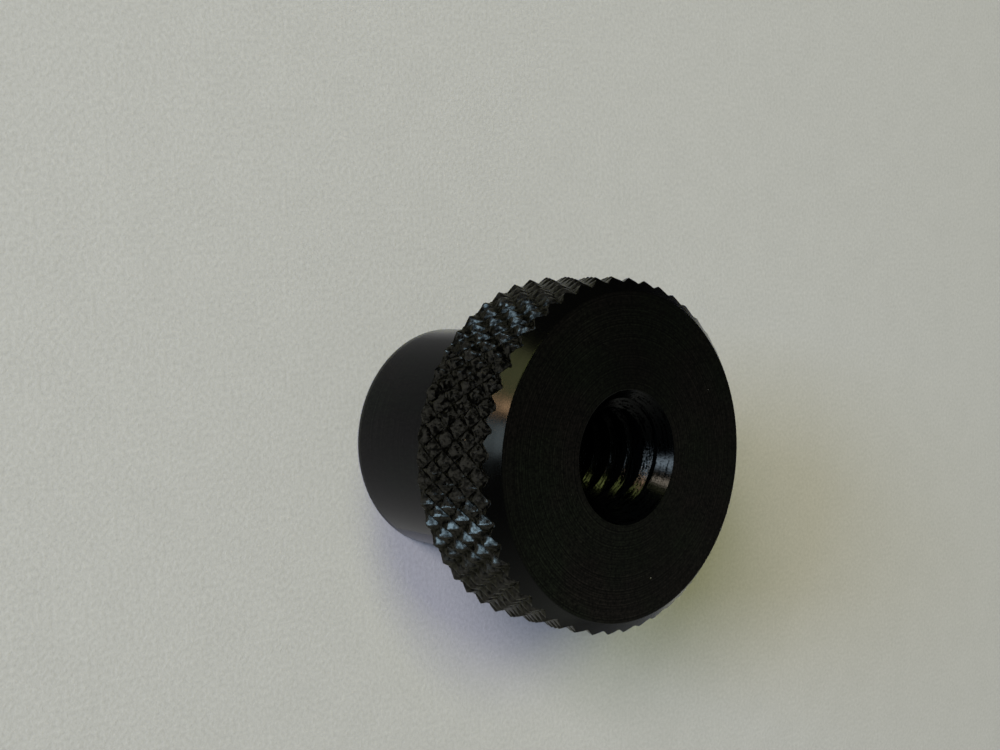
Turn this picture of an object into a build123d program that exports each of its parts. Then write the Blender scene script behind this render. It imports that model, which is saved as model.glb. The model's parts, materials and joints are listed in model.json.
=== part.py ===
from build123d import *
import os
from math import ceil, pi, radians, tan

# A knurled knob turned from one bar: a wide knurled head on a plain round hub,
# with a threaded hole along the axis of both. It stands on the end of the hub.
# Z is the axis of turning, z = 0 is the hub's end and the head's face is on top.
# All sizes are in millimetres and degrees.

# Head
head_diameter = 19.05        # over the crests of the knurl
head_height = 6.4            # from the back of the head to its face
head_chamfer = 0.78          # on both rims, at 45 degrees on the face's
back_chamfer_angle = 35.0    # of the chamfer on the back's rim, to the back

# Hub
hub_diameter = 13.0
hub_height = 9.0             # from its end to the back of the head
hub_chamfer = 0.12           # at 45 degrees, round the end

# Threaded hole, bored here to the crests of its thread
thread_diameter = 6.35       # over the roots
thread_pitch = 1.27
countersink_angle = 90.0     # included angle, at both mouths
face_mouth_margin = 0.4      # of the countersink in the face, past the thread's roots
end_mouth_margin = 0.15      # of the countersink in the hub's end, past the same

# Diamond knurl, two sets of grooves that cross
knurl_pitch = 1.2            # from diamond to diamond, round the crests
knurl_angle = 34.0           # of each groove to the axis
knurl_depth = 0.33           # from crest to groove
knurl_inset = 0.55           # from the face to the first row of groove crossings

# Heights and radii that follow
face_height = hub_height + head_height
crest_radius = head_diameter / 2
groove_radius = crest_radius - knurl_depth
face_radius = crest_radius - head_chamfer
hub_radius = hub_diameter / 2
bore_radius = (thread_diameter - thread_pitch) / 2
face_mouth_radius = thread_diameter / 2 + face_mouth_margin
end_mouth_radius = thread_diameter / 2 + end_mouth_margin


def turned(*corners):
    """The solid turned about Z from a half section, given as (radius, height) corners."""
    section = Polyline(*[(radius, 0, height) for radius, height in corners], close=True)
    return revolve(make_face(section), Axis.Z)


# Head before knurling. Both chamfers run on past the crests, so that they cut
# the ends of the knurl and nothing touches the crests themselves.
rim_reach = head_chamfer + knurl_depth
rim_radius = face_radius + rim_reach
back_rise = rim_reach * tan(radians(back_chamfer_angle))
head = turned(
    (0, hub_height),
    (face_radius, hub_height),
    (rim_radius, hub_height + back_rise),
    (rim_radius, face_height - rim_reach),
    (face_radius, face_height),
    (0, face_height),
)

# Rows of the knurl. Each row goes round the head through crests and groove
# crossings in turn, and the next row is half a diamond lower and half a
# diamond on. The first row is just above the face and the last below the back.
diamonds_around = round(pi * head_diameter / knurl_pitch)
diamond_width = pi * head_diameter / diamonds_around
row_height = diamond_width / tan(radians(knurl_angle)) / 2
rows_above = ceil(knurl_inset / row_height)
rows_below = ceil((head_height - knurl_inset) / row_height)
half_step = 180 / diamonds_around


def knurl_row(row):
    """Points round one row, half a diamond apart: crests are far out, crossings are not."""
    height = face_height - knurl_inset - row * row_height
    points = []
    for step in range(2 * diamonds_around):
        is_crest = (step + row) % 2 == 1
        radius = crest_radius if is_crest else groove_radius
        points.append(Vector(radius, 0, height).rotate(Axis.Z, step * half_step))
    return points


def facet(*points):
    """The flat face that has these corners."""
    return Face(Wire.make_polygon(points, close=True))


# Facets between each pair of rows. Every cell of four points is split along
# the groove that joins its two crossings, which leaves two pyramid sides.
rows = [knurl_row(row) for row in range(-rows_above, rows_below + 1)]
facets = [facet(*rows[0]), facet(*rows[-1])]
for row in range(len(rows) - 1):
    upper = rows[row]
    lower = rows[row + 1]
    for step in range(2 * diamonds_around):
        after = (step + 1) % (2 * diamonds_around)
        crest_is_upper = (step + row - rows_above) % 2 == 1
        if crest_is_upper:
            facets.append(facet(upper[step], upper[after], lower[step]))
            facets.append(facet(lower[after], upper[after], lower[step]))
        else:
            facets.append(facet(upper[after], upper[step], lower[after]))
            facets.append(facet(lower[step], upper[step], lower[after]))
knurl = Solid(Shell(facets))
head = head & knurl

# Hub, run up into the head
hub = turned(
    (0, 0),
    (hub_radius - hub_chamfer, 0),
    (hub_radius, hub_chamfer),
    (hub_radius, hub_height + head_height / 2),
    (0, hub_height + head_height / 2),
)

# Hole through both, with a countersink at each mouth
countersink_slope = tan(radians(countersink_angle / 2))
face_mouth_depth = (face_mouth_radius - bore_radius) / countersink_slope
end_mouth_depth = (end_mouth_radius - bore_radius) / countersink_slope
hole = turned(
    (0, 0),
    (end_mouth_radius, 0),
    (bore_radius, end_mouth_depth),
    (bore_radius, face_height - face_mouth_depth),
    (face_mouth_radius, face_height),
    (0, face_height),
)

knob = head + hub - hole

os.makedirs("parts", exist_ok=True)
export_step(knob, "parts/knob.step")
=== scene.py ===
import json
from math import atan2, ceil, cos, hypot, pi, radians, sin, tan

import bmesh
import bpy
from mathutils import Matrix, Vector


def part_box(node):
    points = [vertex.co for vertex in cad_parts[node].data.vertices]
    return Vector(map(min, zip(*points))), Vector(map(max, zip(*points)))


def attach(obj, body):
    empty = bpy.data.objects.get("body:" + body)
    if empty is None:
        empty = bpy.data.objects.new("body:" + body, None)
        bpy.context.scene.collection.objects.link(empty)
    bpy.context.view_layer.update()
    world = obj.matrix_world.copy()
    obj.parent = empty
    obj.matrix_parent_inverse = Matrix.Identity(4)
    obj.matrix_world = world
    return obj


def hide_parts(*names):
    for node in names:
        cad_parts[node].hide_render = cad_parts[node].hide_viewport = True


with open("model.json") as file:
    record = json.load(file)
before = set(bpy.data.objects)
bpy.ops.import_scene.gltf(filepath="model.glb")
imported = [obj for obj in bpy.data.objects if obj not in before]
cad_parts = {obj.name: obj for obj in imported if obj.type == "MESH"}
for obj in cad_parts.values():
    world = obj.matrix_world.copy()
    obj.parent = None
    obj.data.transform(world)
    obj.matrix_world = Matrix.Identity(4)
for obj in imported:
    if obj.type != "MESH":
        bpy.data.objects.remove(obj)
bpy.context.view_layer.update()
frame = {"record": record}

# The blank. The knob starts as a length of round aluminium bar, turned in a lathe
# to a plain hub with a wide head on top. The head is faced and chamfered on both
# rims, and the chamfers run on past the crests that the knurl will have.
mm = 0.001
head_height = 6.4 * mm
head_chamfer = 0.78 * mm
back_chamfer_angle = radians(35)
hub_radius = 6.5 * mm
hub_chamfer = 0.12 * mm
knurl_depth = 0.33 * mm
corner_round = 0.04 * mm
turned_sides = 256
# A face is level when its normal has at least this much of Z
level = 0.9

head_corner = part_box("knob")[1]
face_height = head_corner.z
crest_radius = head_corner.x
hub_height = face_height - head_height
face_radius = crest_radius - head_chamfer
rim_reach = head_chamfer + knurl_depth
rim_radius = face_radius + rim_reach
back_rise = rim_reach * tan(back_chamfer_angle)


def carry_on(old_radius, new_radius, rise):
    """Extrudes the selected end face, then brings its rim to another radius and height."""
    bpy.ops.mesh.extrude_region_move(TRANSFORM_OT_translate={"value": (0, 0, rise)})
    widening = new_radius / old_radius
    bpy.ops.transform.resize(value=(widening, widening, 1), center_override=(0, 0, 0))


def select_faces(wanted):
    """Selects the faces of the mesh in hand that a test on each face picks out."""
    bpy.ops.mesh.select_mode(type="FACE")
    bpy.ops.mesh.select_all(action="DESELECT")
    mesh = bmesh.from_edit_mesh(bpy.context.object.data)
    for face in mesh.faces:
        face.select_set(wanted(face))
    bmesh.update_edit_mesh(bpy.context.object.data)


def select_edges(wanted):
    """Selects the edges of the mesh in hand that a test on each edge picks out."""
    bpy.ops.mesh.select_mode(type="EDGE")
    bpy.ops.mesh.select_all(action="DESELECT")
    mesh = bmesh.from_edit_mesh(bpy.context.object.data)
    for edge in mesh.edges:
        edge.select_set(wanted(edge))
    bmesh.update_edit_mesh(bpy.context.object.data)


def on_ring(edge, radius, height):
    """Whether both ends of an edge lie on a circle round the axis."""
    near = 0.002 * mm
    return all(
        abs(hypot(end.co.x, end.co.y) - radius) < near and abs(end.co.z - height) < near
        for end in edge.verts
    )


def turn_bar(name, radius, bottom, top):
    """A round bar on the axis in edit mode, with its top face selected."""
    bpy.ops.object.select_all(action="DESELECT")
    bpy.ops.mesh.primitive_cylinder_add(
        vertices=turned_sides,
        radius=radius,
        depth=top - bottom,
        location=(0, 0, (top + bottom) / 2),
    )
    bar = bpy.context.object
    bar.name = name
    bpy.ops.object.transform_apply(location=True)
    bpy.ops.object.mode_set(mode="EDIT")
    select_faces(lambda face: face.normal.z > level)
    return bar


def round_ring(radius, height, width, steps=2):
    """Rounds off the edges that lie on one circle round the axis."""
    select_edges(lambda edge: on_ring(edge, radius, height))
    bpy.ops.mesh.bevel(offset=width, segments=steps, affect="EDGES")


turned_black = bpy.data.materials.new("turned_black")
knob = turn_bar("turned_knob", hub_radius, 0, hub_height)
knob.data.materials.append(turned_black)
carry_on(hub_radius, face_radius, 0)
carry_on(face_radius, rim_radius, back_rise)
carry_on(rim_radius, rim_radius, head_height - back_rise - rim_reach)
carry_on(rim_radius, face_radius, rim_reach)
round_ring(hub_radius, 0, hub_chamfer, steps=1)
round_ring(hub_radius, hub_chamfer, corner_round)
round_ring(hub_radius - hub_chamfer, 0, corner_round)
round_ring(face_radius, hub_height, corner_round)
round_ring(face_radius, face_height, corner_round)
bpy.ops.object.mode_set(mode="OBJECT")

# The diamond knurl. Two wheels with slanted teeth are pressed into the turning
# head, so that their grooves cross and leave rows of small pyramids. The chamfers
# are turned afterwards, which is why the diamonds end in scallops there.
knurl_pitch = 1.2 * mm
knurl_angle = radians(34)
knurl_inset = 0.55 * mm
# Smoothing takes about this much off the crests, so they start that much higher
ridge_loss = 0.02 * mm
facet_cuts = 7
knurl_overrun = 1 * mm

groove_radius = crest_radius - knurl_depth
diamonds_around = round(2 * pi * crest_radius / knurl_pitch)
half_turn = pi / diamonds_around
row_height = crest_radius * half_turn / tan(knurl_angle)
rows_above = ceil(knurl_inset / row_height)
rows_below = ceil((head_height - knurl_inset) / row_height)
knurl_top = face_height - knurl_inset + rows_above * row_height
knurl_bottom = face_height - knurl_inset - rows_below * row_height

# A drum with every crest and groove crossing as a corner
bpy.ops.object.select_all(action="DESELECT")
bpy.ops.mesh.primitive_cylinder_add(
    vertices=2 * diamonds_around,
    radius=groove_radius,
    depth=knurl_top - knurl_bottom,
    location=(0, 0, (knurl_top + knurl_bottom) / 2),
)
knurl = bpy.context.object
knurl.name = "knurl"
knurled_black = bpy.data.materials.new("knurled_black")
knurl.data.materials.append(knurled_black)
bpy.ops.object.transform_apply(location=True)
bpy.ops.object.mode_set(mode="EDIT")
select_edges(lambda edge: abs(edge.verts[0].co.z - edge.verts[1].co.z) > row_height)
bpy.ops.mesh.subdivide(number_cuts=rows_above + rows_below - 1)


def is_crest(point):
    """Whether a point of the drum is a crest: every other one along a row and down a line."""
    step = round(atan2(point.y, point.x) / half_turn)
    row = round((knurl_top - point.z) / row_height) - rows_above
    return (step + row) % 2 == 1


bpy.ops.mesh.select_mode(type="VERT")
bpy.ops.mesh.select_all(action="DESELECT")
drum = bmesh.from_edit_mesh(knurl.data)
for corner in drum.verts:
    corner.select_set(is_crest(corner.co))
bmesh.update_edit_mesh(knurl.data)
swelling = (crest_radius + ridge_loss) / groove_radius
bpy.ops.transform.resize(value=(swelling, swelling, 1), center_override=(0, 0, 0))

# A cell's shorter diagonal joins its two groove crossings
select_faces(lambda face: abs(face.normal.z) < level)
bpy.ops.mesh.quads_convert_to_tris(quad_method="SHORTEST_DIAGONAL")
bpy.ops.mesh.subdivide(number_cuts=facet_cuts)
bpy.ops.mesh.vertices_smooth(factor=0.5)

# The drum goes on down past the hub's end, so that it cuts nothing off the hub
select_faces(lambda face: face.normal.z < -level)
carry_on(groove_radius, groove_radius, -knurl_bottom - knurl_overrun)
bpy.ops.object.mode_set(mode="OBJECT")


def roughen(piece, name, grain, height, where=""):
    """Moves the surface of a piece in and out by up to this height, in lumps of this size."""
    lumps = bpy.data.textures.new(name, "CLOUDS")
    lumps.noise_scale = grain
    lumps.noise_depth = 1
    change = piece.modifiers.new(name, "DISPLACE")
    change.texture = lumps
    change.strength = 2 * height
    change.vertex_group = where
    bpy.ops.object.modifier_apply(modifier=change.name)


# The wheels tore the metal more on one side of the head than on the other
torn_way = radians(155)
torn_least = 0.15
torn = knurl.vertex_groups.new(name="torn")
for corner in knurl.data.vertices:
    turned_away = atan2(corner.co.y, corner.co.x) - torn_way
    how_torn = torn_least + (1 - torn_least) * max(0, cos(turned_away)) ** 4
    torn.add([corner.index], how_torn, "REPLACE")
roughen(knurl, "uneven_teeth", 0.9 * mm, 0.03 * mm)
roughen(knurl, "torn_shape", 0.4 * mm, 0.045 * mm, where="torn")
roughen(knurl, "torn_metal", 0.2 * mm, 0.05 * mm, where="torn")


def cut(piece, tool, operation):
    """Cuts the piece with a tool, or keeps what both share, and takes the tool away."""
    bpy.ops.object.select_all(action="DESELECT")
    bpy.context.view_layer.objects.active = piece
    piece.select_set(True)
    change = piece.modifiers.new(operation, "BOOLEAN")
    change.operation = operation
    change.solver = "EXACT"
    change.material_mode = "TRANSFER"
    change.object = tool
    bpy.ops.object.modifier_apply(modifier=change.name)
    bpy.data.objects.remove(tool)


cut(knob, knurl, "INTERSECT")

# The threaded hole. It is drilled right through, countersunk at both mouths and
# tapped, so a V-shaped groove winds up its wall as a right-hand screw.
thread_radius = 3.175 * mm
thread_pitch = 1.27 * mm
flank_angle = radians(30)
bore_radius = frame["record"]["mounts"][0]["dims"]["r_mm"] * mm
face_mouth_radius = thread_radius + 0.4 * mm
end_mouth_radius = thread_radius + 0.15 * mm
mouth_round = 0.03 * mm
drill_overrun = 0.5 * mm

hole = turn_bar("hole", end_mouth_radius + drill_overrun, -2 * drill_overrun, -drill_overrun)
countersunk_black = bpy.data.materials.new("countersunk_black")
hole.data.materials.append(countersunk_black)
bore_length = face_height - face_mouth_radius - end_mouth_radius + 2 * bore_radius
carry_on(end_mouth_radius + drill_overrun, bore_radius, drill_overrun + end_mouth_radius - bore_radius)
carry_on(bore_radius, bore_radius, bore_length)
carry_on(bore_radius, face_mouth_radius + drill_overrun, face_mouth_radius + drill_overrun - bore_radius)
bpy.ops.object.mode_set(mode="OBJECT")
cut(knob, hole, "DIFFERENCE")

# The groove's section, narrow at its root and wide at its foot, inside the bore
groove_foot = 2.4 * mm
groove_middle = (thread_radius + groove_foot) / 2
root_half_width = thread_pitch / 16
foot_half_width = root_half_width + (thread_radius - groove_foot) * tan(flank_angle)
# The groove comes out of the countersink on the side of +X
thread_runout = 0.87 * mm
spare_turns = 2
steps_in_a_turn = 72
merge_distance = 0.0005 * mm
turns = ceil(face_height / thread_pitch) + spare_turns
thread_start = face_height - thread_runout - (turns - 1) * thread_pitch
bpy.ops.object.select_all(action="DESELECT")
bpy.ops.mesh.primitive_plane_add(size=1, location=(groove_middle, 0, thread_start), rotation=(pi / 2, 0, 0))
groove = bpy.context.object
groove.name = "thread_groove"
tapped_black = bpy.data.materials.new("tapped_black")
groove.data.materials.append(tapped_black)
groove.scale = (thread_radius - groove_foot, 1, 1)
bpy.ops.object.transform_apply(location=True, rotation=True, scale=True)
for corner in groove.data.vertices:
    half_width = root_half_width if corner.co.x > groove_middle else foot_half_width
    corner.co.z = thread_start + (half_width if corner.co.z > thread_start else -half_width)

winding = groove.modifiers.new("winding", "SCREW")
winding.axis = "Z"
winding.angle = 2 * pi
winding.screw_offset = thread_pitch
winding.iterations = turns
winding.steps = steps_in_a_turn
winding.render_steps = steps_in_a_turn
winding.use_merge_vertices = False
bpy.ops.object.modifier_apply(modifier=winding.name)
bpy.ops.object.mode_set(mode="EDIT")
bpy.ops.mesh.select_all(action="SELECT")
bpy.ops.mesh.remove_doubles(threshold=merge_distance)
bpy.ops.mesh.fill_holes(sides=8)
bpy.ops.mesh.normals_make_consistent(inside=False)
bpy.ops.object.mode_set(mode="OBJECT")
cut(knob, groove, "DIFFERENCE")

bpy.ops.object.mode_set(mode="EDIT")
round_ring(face_mouth_radius, face_height, mouth_round)
round_ring(end_mouth_radius, 0, mouth_round)

# The borders of the head's chamfer and of the countersink in its face, both at 45
# degrees, are sharp in the shading, so that the rounds beside them don't tilt it
smooth_angle = radians(28)
cone_rise = cos(radians(45))
knurled_slot = list(knob.data.materials).index(knurled_black)


def on_cone(face):
    """Whether a face lies on the chamfer of the head or on the countersink in its face."""
    near = 0.02
    return face.material_index != knurled_slot and abs(face.normal.z - cone_rise) < near


select_faces(on_cone)
bpy.ops.mesh.region_to_loop()
bpy.ops.mesh.mark_sharp()
bpy.ops.object.mode_set(mode="OBJECT")
bpy.ops.object.shade_smooth_by_angle(angle=smooth_angle)
bpy.ops.object.modifier_add(type="WEIGHTED_NORMAL")
evening = knob.modifiers[-1]
evening.keep_sharp = True
bpy.ops.object.modifier_apply(modifier=evening.name)

# The finish. The bare knob is anodised black all over. The film is thin, so the marks of
# the tools show through it: rings from the lathe, streaks from the tap, and torn grain
# from the knurling wheels.


class Signal:
    """A number, place or colour in a material. Sums and products of signals add nodes."""

    def __init__(self, socket):
        self.socket = socket

    def to(self, kind, inputs, output=0, **settings):
        """Adds a node of any kind, with these signals or numbers at its inputs."""
        tree = self.socket.id_data
        node = tree.nodes.new("ShaderNode" + kind)
        for setting, value in settings.items():
            setattr(node, setting, value)
        for name, value in inputs.items():
            if isinstance(value, Signal):
                tree.links.new(value.socket, node.inputs[name])
            else:
                node.inputs[name].default_value = value
        return Signal(node.outputs[output])

    def math(self, operation, other=0.0):
        """Works on this number, and on another where the operation takes two."""
        return self.to("Math", {0: self, 1: other}, operation=operation)

    def along(self, axis):
        """How far this place is along X, Y or Z."""
        return self.to("SeparateXYZ", {0: self}, output=axis)

    def __add__(self, other):
        return self.math("ADD", other)

    def __radd__(self, other):
        return self.math("ADD", other)

    def __sub__(self, other):
        return self.math("SUBTRACT", other)

    def __rsub__(self, other):
        return self.to("Math", {0: other, 1: self}, operation="SUBTRACT")

    def __mul__(self, other):
        return self.math("MULTIPLY", other)

    def __rmul__(self, other):
        return self.math("MULTIPLY", other)

    def __truediv__(self, other):
        return self.math("DIVIDE", other)

    def into(self, shader, name):
        """Leads the signal into an input of a shader."""
        self.socket.id_data.links.new(self.socket, shader.inputs[name])


def open_surface(material):
    """The shader of a material, and the place on the object as a signal."""
    material.use_nodes = True
    nodes = material.node_tree.nodes
    return nodes["Principled BSDF"], Signal(nodes.new("ShaderNodeTexCoord").outputs["Object"])


def out_from_axis(place):
    """How far a place is from the knob's axis."""
    x = place.along("X")
    y = place.along("Y")
    return (x * x + y * y).math("SQRT")


def noise(place, scale, detail):
    """Uneven values about 0.5, with this many lumps to the metre."""
    return place.to("TexNoise", {"Vector": place, "Scale": scale, "Detail": detail})


def ramp(value, start, end, first=0.0, last=1.0):
    """Goes from first to last, and no further, while the value goes from start to end."""
    limits = {"From Min": start, "From Max": end, "To Min": first, "To Max": last}
    return value.to("MapRange", {"Value": value, **limits})


def blend(amount, first, second):
    """The first colour where the amount is 0, and the second where it is 1."""
    return amount.to("MixRGB", {"Fac": amount, "Color1": first, "Color2": second})


def raised(height):
    """The tilt of a surface that stands this many metres higher from place to place."""
    return height.to("Bump", {"Height": height, "Distance": 1.0, "Strength": 1.0})


def turned_finish(material):
    """Black film over turned metal, with a few specks of dust; the rubbed ring crests of the face carry a
    painted sheen.
    """
    film_index = 1.36
    film_color = (0.0006, 0.0006, 0.0005, 1)
    # The colour of the painted sheen on the rubbed ring crests of the face
    worn_sheen_color = (0.0097, 0.0083, 0.007, 1)
    # A greenish painted reflection that tints the sheen in patches
    green_reflection_color = (0.0072, 0.0094, 0.0056, 1)
    dust_color = (0.12, 0.12, 0.1, 1)
    ring_pitch = 0.15 * mm
    ring_depth = 0.0005 * mm
    grain_depth = 0.0003 * mm
    # How far the painted sheen on the face fades, from bright at -Y towards +Y
    sheen_fade_length = 22 * mm
    shader, place = open_surface(material)
    shader.inputs["IOR"].default_value = film_index
    radius = out_from_axis(place)

    # Feed marks follow the tool, out along the face and down along the hub
    feed = (radius - 0.6 * place.along("Z")) / ring_pitch
    passes = feed.to("TexNoise", {"W": feed, "Scale": 0.3, "Detail": 2.0}, noise_dimensions="1D")
    scratches = feed.to("TexNoise", {"W": feed, "Scale": 1.9, "Detail": 1.0}, noise_dimensions="1D")
    rings = (feed * (2 * pi) + passes * 3.0).math("SINE") * 0.07 + scratches * 0.8 + 0.1
    patches = noise(place, 130.0, 2.0)
    grain = noise(place, 7500.0, 2.0)
    haze = noise(place, 240.0, 3.0)
    height = rings * (patches + 0.3) * ring_depth + grain * grain_depth
    raised(height).into(shader, "Normal")
    (haze * 0.12 + passes * 0.08 + 0.1).into(shader, "Roughness")

    # The crests of the rings on the face are rubbed and lit with a painted sheen, which grows brighter
    # towards -Y
    crests = ramp(rings, 0.3, 0.74, first=0.1)
    on_face = radius.math("LESS_THAN", face_radius)
    painted_sheen_fade = 1 - place.along("Y") / sheen_fade_length
    rubbed_sheen = 0.85 * crests * patches * (grain * 4.4 - 1.2) * on_face * painted_sheen_fade
    # Painted reflection: in hazy patches the sheen on the face turns green
    worn_sheen = blend((haze - 0.4) * 5.0, worn_sheen_color, green_reflection_color)
    film = blend(rubbed_sheen, film_color, worn_sheen)

    # Each cell of a pattern draws a speck of its own size, and most draw none
    cells = {"Vector": place, "Scale": 900.0}
    distance = place.to("TexVoronoi", cells, output="Distance")
    draw = place.to("TexVoronoi", cells, output="Color")
    speck = distance.math("LESS_THAN", draw * 0.12 - 0.06) * 0.8
    blend(speck, film, dust_color).into(shader, "Base Color")


def tapped_finish(material, film_index, streak_depth, dull_from, dull_to):
    """Black film on metal that a cutter left streaky round the axis and dull in places."""
    streak_width = 0.12 * mm
    grain_depth = 0.003 * mm
    shader, place = open_surface(material)
    shader.inputs["IOR"].default_value = film_index
    shader.inputs["Base Color"].default_value = (0.0004, 0.0005, 0.0005, 1)
    shader.inputs["Specular Tint"].default_value = (0.45, 0.45, 0.45, 1)
    turn = place.along("Y").math("ARCTAN2", place.along("X")) * 3.0
    out = out_from_axis(place) / streak_width
    up = place.along("Z") / streak_width
    unrolled = turn.to("CombineXYZ", {"X": turn, "Y": out, "Z": up})
    streaks = noise(unrolled, 1.0, 2.0)
    grain = noise(place, 9000.0, 2.0)
    ramp(streaks * 0.6 + grain * 0.4, dull_from, dull_to).into(shader, "Metallic")
    (grain * 0.15 + 0.08).into(shader, "Roughness")
    raised(streaks * streak_depth + grain * grain_depth).into(shader, "Normal")


def knurled_finish(material):
    """Black film on torn metal: burnished crests shine a little, painted shade darkens the grooves and the
    torn side, and the pits are rougher.
    """
    # The dark colour is painted shade in the grooves as well as the tone of uneven metal
    shaded_pit_color = (0.011, 0.0108, 0.01, 1)
    # The colour of the pits on the torn side, partly painted shade
    torn_shade_color = (0.0008, 0.0008, 0.0008, 1)
    crest_color = (0.052, 0.05, 0.046, 1)
    lump_height = 0.01 * mm
    grain_height = 0.005 * mm
    # How fast a painted light brightens the knurl towards -X
    painted_side_light_fade = 35 * mm
    shader, place = open_surface(material)
    shader.inputs["Metallic"].default_value = 1
    shader.inputs["Specular Tint"].default_value = (0.5, 0.5, 0.48, 1)
    x = place.along("X")
    y = place.along("Y")
    radius = out_from_axis(place)
    standing = (radius - groove_radius) / knurl_depth
    lumps = noise(place, 5200.0, 3.0)
    grain = noise(place, 12000.0, 2.0)

    # The crests are burnished, and painted shade darkens the grooves between them; a painted light makes
    # the side of -X a little brighter
    burnish_and_shade = lumps * 1.6 + standing * 0.4 - x / painted_side_light_fade - 0.1
    film = blend(ramp(burnish_and_shade, 0.8, 1.3), shaded_pit_color, crest_color)

    # The torn side has dark pits, partly real roughness and partly painted shade that darkens that side of
    # the knurl
    torn_side = ((x * cos(torn_way) + y * sin(torn_way)) / radius).math("MAXIMUM", 0.0)
    torn_more = torn_side * torn_side * torn_side * (1 - torn_least)
    pits_and_shade = ramp(noise(place, 3200.0, 2.0), 0.5, 0.4) * torn_more
    blend(pits_and_shade, film, torn_shade_color).into(shader, "Base Color")
    (grain * 0.2 + pits_and_shade * 0.3 + 0.1).into(shader, "Roughness")
    height = (grain * grain_height + lumps * lump_height) * (torn_least + torn_more)
    raised(height).into(shader, "Normal")


turned_finish(turned_black)
tapped_finish(countersunk_black, 1.27, streak_depth=0.004 * mm, dull_from=0.5, dull_to=0.62)
tapped_finish(tapped_black, 1.3, streak_depth=0.01 * mm, dull_from=0.485, dull_to=0.575)
knurled_finish(knurled_black)
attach(knob, "root")
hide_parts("knob")

# The floor. A sheet of thick pale paper that the knob stands on, with short fibres
# pressed into it, which make its shade and its surface slightly uneven.
fibre_height = 0.022 * mm
shaded_paper = (0.33, 0.331, 0.318, 1)
bright_paper = (0.55, 0.55, 0.535, 1)
bpy.ops.object.select_all(action="DESELECT")
bpy.ops.mesh.primitive_plane_add(size=2)
floor = bpy.context.object
floor.name = "floor"
paper = bpy.data.materials.new("pale_paper")
floor.data.materials.append(paper)
paper_shader, place = open_surface(paper)
paper_shader.inputs["Roughness"].default_value = 0.9
fibres = place.to("TexNoise", {"Vector": place, "Scale": 4200.0, "Detail": 4.0, "Roughness": 0.6})
clouds = noise(place, 400.0, 3.0)
blend(fibres * 0.85 + clouds * 0.15, shaded_paper, bright_paper).into(paper_shader, "Base Color")
raised(fibres * fibre_height).into(paper_shader, "Normal")

# The room. It gives a little light from all round. The gloss mirrors a dark room with
# one pale wall in it, and the camera sees a pale backdrop past the paper's edge.
pale_wall = (0.258, -0.962, -0.087)
wall_glow = 0.42
room_glow = 0.014
room_light = (0.12, 0.12, 0.115, 1)
wall_color = (1, 1.04, 0.95, 1)
backdrop_color = (0.45, 0.45, 0.44, 1)
room = bpy.context.scene.world or bpy.data.worlds.new("room")
bpy.context.scene.world = room
room.use_nodes = True
background = room.node_tree.nodes["Background"]
direction = Signal(room.node_tree.nodes.new("ShaderNodeTexCoord").outputs["Generated"])
to_camera = direction.to("LightPath", {}, output="Is Camera Ray")
to_gloss = direction.to("LightPath", {}, output="Is Glossy Ray")
facing = direction.to("VectorMath", {0: direction, 1: pale_wall}, output="Value", operation="DOT_PRODUCT")
wall = facing.math("MAXIMUM", 0.0)
mirrored = wall * wall * wall_glow + room_glow
blend(to_camera, blend(to_gloss, room_light, wall_color), backdrop_color).into(background, "Color")
(1 + (mirrored - 1) * to_gloss).into(background, "Strength")

# The lamps. A bluish window low on the left, a white lamp above it and a yellowish one
# near the ceiling light the knob and the paper, and each colours the shadows that the
# others leave. They don't show in the gloss.
lamp_distance = 1.2
lamp_size = (0.34, 0.34)
face_middle = Vector((0, 0, face_height))


def soft_light(name, place, target, size, strength, color, spread=180):
    """A panel at one place that faces another, this bright, seen up to half the spread to a side."""
    panel = bpy.data.lights.new(name, "AREA")
    panel.shape = "RECTANGLE"
    panel.size, panel.size_y = size
    panel.color = color
    panel.spread = radians(spread)
    half = radians(spread / 2)
    gathered = 1 if spread == 180 else 1 - half / tan(half)
    panel.energy = strength * gathered * pi * panel.size * panel.size_y
    lamp = bpy.data.objects.new(name, panel)
    bpy.context.scene.collection.objects.link(lamp)
    lamp.location = place
    lamp.rotation_euler = (lamp.location - Vector(target)).to_track_quat("Z", "Y").to_euler()
    lamp.visible_camera = False
    return lamp


def towards(azimuth, elevation, distance):
    """The place that lies this way and this far from the middle of the knob's face."""
    flat = cos(radians(elevation))
    way = Vector((flat * cos(radians(azimuth)), flat * sin(radians(azimuth)), sin(radians(elevation))))
    return face_middle + way * distance


for name, azimuth, elevation, strength, color in (
    ("window", 162, 20, 24.5, (0.8, 1.0, 1.55)),
    ("white_lamp", 150, 35, 26.5, (1.08, 1.0, 1.07)),
    ("ceiling_lamp", 132, 60, 15.8, (1.0, 1.0, 0.41)),
):
    place = towards(azimuth, elevation, lamp_distance)
    lamp = soft_light(name, place, face_middle, lamp_size, strength, color)
    lamp.visible_glossy = False

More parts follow.
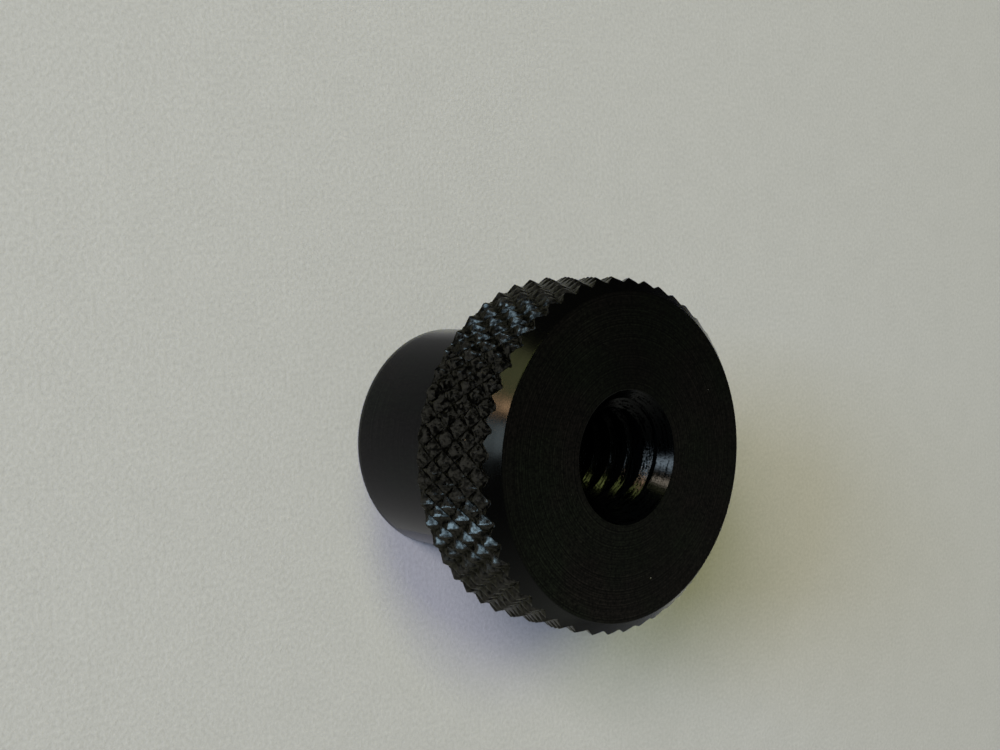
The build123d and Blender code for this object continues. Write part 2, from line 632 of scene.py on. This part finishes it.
# What the gloss mirrors: cards near the knob that light nothing else, each seen only
# from the part of the knob that it faces. Places and sizes are in millimetres.
head_spot = (0, 0, 15.4)
hole_spot = (3, -0.8, 15)
card_distance = 0.1
wall_place = towards(126, 34, card_distance) / mm
bulb_place = towards(146, 39, card_distance) / mm
far_place = towards(166, 40, card_distance) / mm
glint_blue = (0.6, 0.93, 1.25)
hole_blue = (0.78, 0.98, 1.15)
for name, place, target, size, strength, color, spread in (
    ("upper_glint", (-10.5, 12, 9.6), (-5.5, 7.6, 11.8), (4.5, 5.5), 7.0, glint_blue, 42),
    ("lower_glint", (-16.2, -2.8, 10.3), (-8.5, -3.8, 12.3), (4.5, 6.5), 8.0, glint_blue, 40),
    ("green_wall", wall_place, head_spot, (44, 34), 1.9, (0.95, 1.0, 0.45), 80),
    ("bulb", bulb_place, head_spot, (9, 11), 13.0, (1.6, 1.0, 0.55), 80),
    ("far_window", far_place, head_spot, (26, 16), 3.4, (0.82, 1.0, 1.06), 80),
    ("cone_window", (-23.4, 6.3, 44.3), hole_spot, (26, 9), 28.0, hole_blue, 24),
    ("cone_warmth", (-14.9, 19.8, 44.3), hole_spot, (5, 8), 24.0, (1.3, 1.12, 0.92), 24),
    ("thread_window", (1.68, -0.72, 18.4), (2.7, -0.7, 14.2), (0.5, 0.6), 26.0, hole_blue, 36),
    ("thread_warmth", (1.93, -0.28, 18.4), (2.7, -1.2, 14.2), (0.22, 0.6), 40.0, (1.6, 1.05, 0.65), 36),
    ("thread_green", (-1.7, 19.9, 49), hole_spot, (13, 10), 15.0, (0.85, 1.0, 0.3), 30),
):
    width, height = size
    spot = Vector(place) * mm
    card = soft_light(name, spot, Vector(target) * mm, (width * mm, height * mm), strength, color, spread)
    card.visible_diffuse = False

# The dark sides of the room: two curved cloth screens, a dark one on the side of +Y and
# a paler one on the side of -Y, with a gap between them. Only the gloss mirrors them.
screen_radius = 38 * mm
screen_height = 18 * mm
screen_edge_x = -7 * mm
screen_edge_y = 11 * mm


def hang_tube(name, radius, bottom, top, sides, left_out):
    """An open tube on the axis that only the gloss sees, without the faces that a test names."""
    bpy.ops.object.select_all(action="DESELECT")
    bpy.ops.mesh.primitive_cylinder_add(
        vertices=sides,
        radius=radius,
        depth=top - bottom,
        end_fill_type="NOTHING",
        location=(0, 0, (top + bottom) / 2),
    )
    tube = bpy.context.object
    tube.name = name
    bpy.ops.object.transform_apply(location=True)
    bpy.ops.object.mode_set(mode="EDIT")
    select_faces(left_out)
    bpy.ops.mesh.delete(type="FACE")
    bpy.ops.object.mode_set(mode="OBJECT")
    tube.visible_camera = False
    tube.visible_diffuse = False
    tube.visible_shadow = False
    return tube


def off_the_screen(face):
    """Whether a face of the tube lies past the edges of both screens."""
    middle = face.calc_center_median()
    return middle.x < screen_edge_x or abs(middle.y) < screen_edge_y


screen = hang_tube("dark_screen", screen_radius, 0, screen_height, 72, off_the_screen)
for name, color in (("dark_cloth", (0.01, 0.01, 0.01, 1)), ("pale_cloth", (0.13, 0.13, 0.12, 1))):
    cloth = bpy.data.materials.new(name)
    screen.data.materials.append(cloth)
    screen_shader = open_surface(cloth)[0]
    screen_shader.inputs["Base Color"].default_value = color
    screen_shader.inputs["Roughness"].default_value = 1
for face in screen.data.polygons:
    face.material_index = 1 if face.center.y < 0 else 0

# The dim paper and the head's shade that the hub mirrors: a shield close round the side
# of the hub that the camera sees. It glows as a painted reflection that only the gloss
# mirrors, brighter towards -Y and +X.
shield_gap = 0.12 * mm
shield_margin = 0.15 * mm
shield_middle = radians(163)
shield_half_arc = radians(67)


def off_the_shield(face):
    """Whether a face of the tube lies further round the hub than the shield goes."""
    middle = face.calc_center_median()
    return abs(atan2(middle.y, middle.x) % (2 * pi) - shield_middle) > shield_half_arc


shield = hang_tube(
    "hub_shield", hub_radius + shield_gap, shield_margin, hub_height - shield_margin, 120, off_the_shield
)
painted_hub_reflection = bpy.data.materials.new("painted_hub_reflection")
shield.data.materials.append(painted_hub_reflection)
screen_shader, place = open_surface(painted_hub_reflection)
dimmed = ramp(place.along("Y"), -4.5 * mm, 2.5 * mm, first=0.36, last=0.17)
lifted = ramp(place.along("X"), -2.2 * mm, -0.7 * mm, last=0.2)
# The glow is a painted reflection of dim paper and of the head's shade
(dimmed + lifted).into(screen_shader, "Emission Color")
screen_shader.inputs["Emission Strength"].default_value = 1
screen_shader.inputs["Base Color"].default_value = (0, 0, 0, 1)

# The camera looks down on the face from the side, turned on its own axis, because
# the knob lay on its side when it was photographed.
camera_place = Vector((-55.1324, 11.1396, 69.6337)) * mm
look = Vector((0.64847, -0.084558, -0.756529))
picture_up = Vector((0.083612, 0.995710, -0.039623))
picture_right = look.cross(picture_up)
camera_data = bpy.data.cameras.new("camera")
camera_data.lens = 53.25
camera_data.sensor_width = 36
camera_data.clip_start = 0.005
camera = bpy.data.objects.new("camera", camera_data)
bpy.context.scene.collection.objects.link(camera)
bpy.context.scene.camera = camera
camera.matrix_world = Matrix((
    (picture_right.x, picture_up.x, -look.x, camera_place.x),
    (picture_right.y, picture_up.y, -look.y, camera_place.y),
    (picture_right.z, picture_up.z, -look.z, camera_place.z),
    (0, 0, 0, 1),
))

bpy.context.scene.view_settings.view_transform = "Standard"
